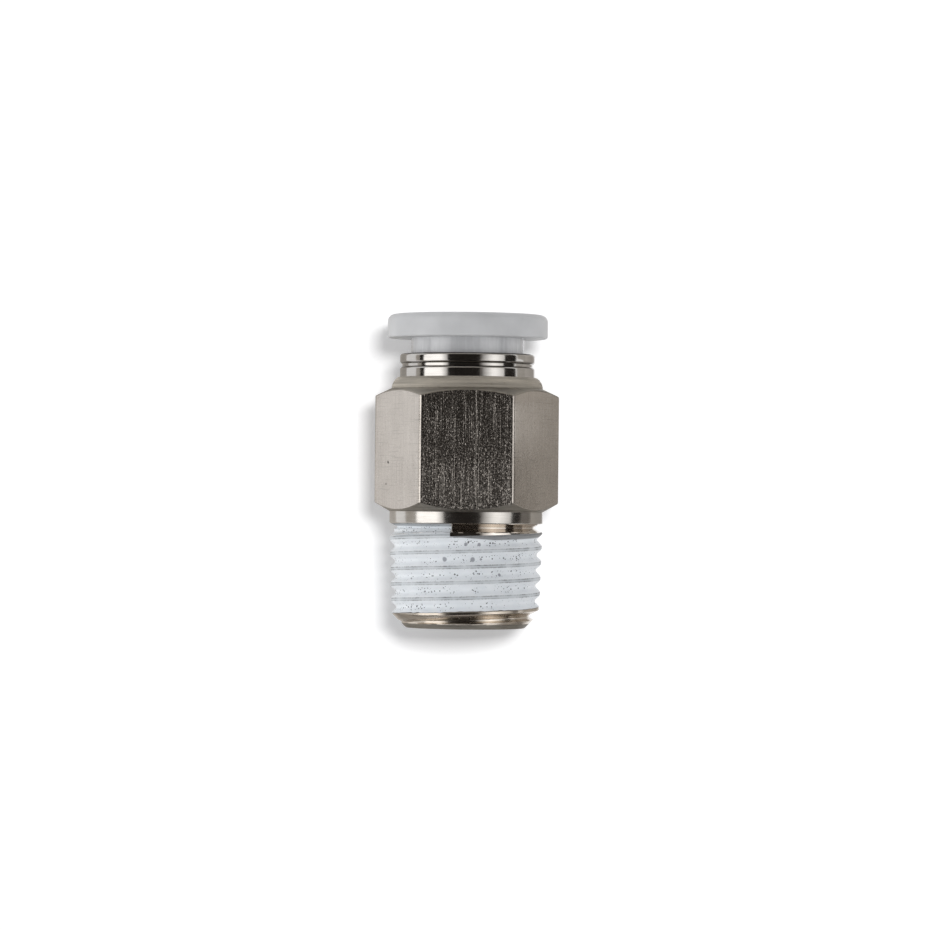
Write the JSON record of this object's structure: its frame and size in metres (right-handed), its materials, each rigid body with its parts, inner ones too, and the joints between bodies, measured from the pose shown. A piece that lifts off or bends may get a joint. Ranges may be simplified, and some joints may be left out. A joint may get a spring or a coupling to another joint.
{
  "type": "push-to-connect tube fitting",
  "caption": "Straight male push-to-connect fitting: taper pipe thread with white sealant, hexagon body, guide ring, and a sprung collet with a flanged release button that frees the tube.",
  "frame": {"origin": "centre of the thread's end face, the lowest face of the part", "axes": "+Z along the tube's axis, from the thread end to the release button; -Y out of a hexagon flat; +X through a hexagon corner"},
  "size_m": [0.0162, 0.014, 0.0275],
  "materials": {
    "nickel_plate": "nickel-plated brass, satin on the hexagon's flats and turned elsewhere",
    "bright_nickel": "nickel-plated brass, bright turned",
    "sealant": "dried white thread sealant with pits and specks",
    "seal_rubber": "moulded nitrile rubber",
    "backup_plastic": "moulded acetal",
    "spring_steel": "pressed stainless spring sheet",
    "collet_plastic": "natural white acetal, slightly glossy",
    "button_plastic": "light grey moulded acetal, satin"
  },
  "bodies": {
    "fitting_body": {"body": "nickel_plate", "thread_sealant": "sealant", "tube_seal": "seal_rubber", "seal_backup_ring": "backup_plastic", "chuck": "spring_steel", "guide_ring": "bright_nickel"},
    "collet_sleeve": {"collet": "collet_plastic"},
    "button": {"release_button": "button_plastic"}
  },
  "joints": [
    {"name": "button_press", "type": "slide", "parent": "fitting_body", "child": "collet_sleeve", "axis": [0, 0, -1], "range_m": [0, 0.00135], "stiffness_N_per_m": 4000, "deforming": ["chuck"]},
    {"name": "button_turn", "type": "hinge", "parent": "collet_sleeve", "child": "button", "pos_m": [0, 0, 0.0264], "axis": [0, 0, 1], "continuous": true}
  ]
}
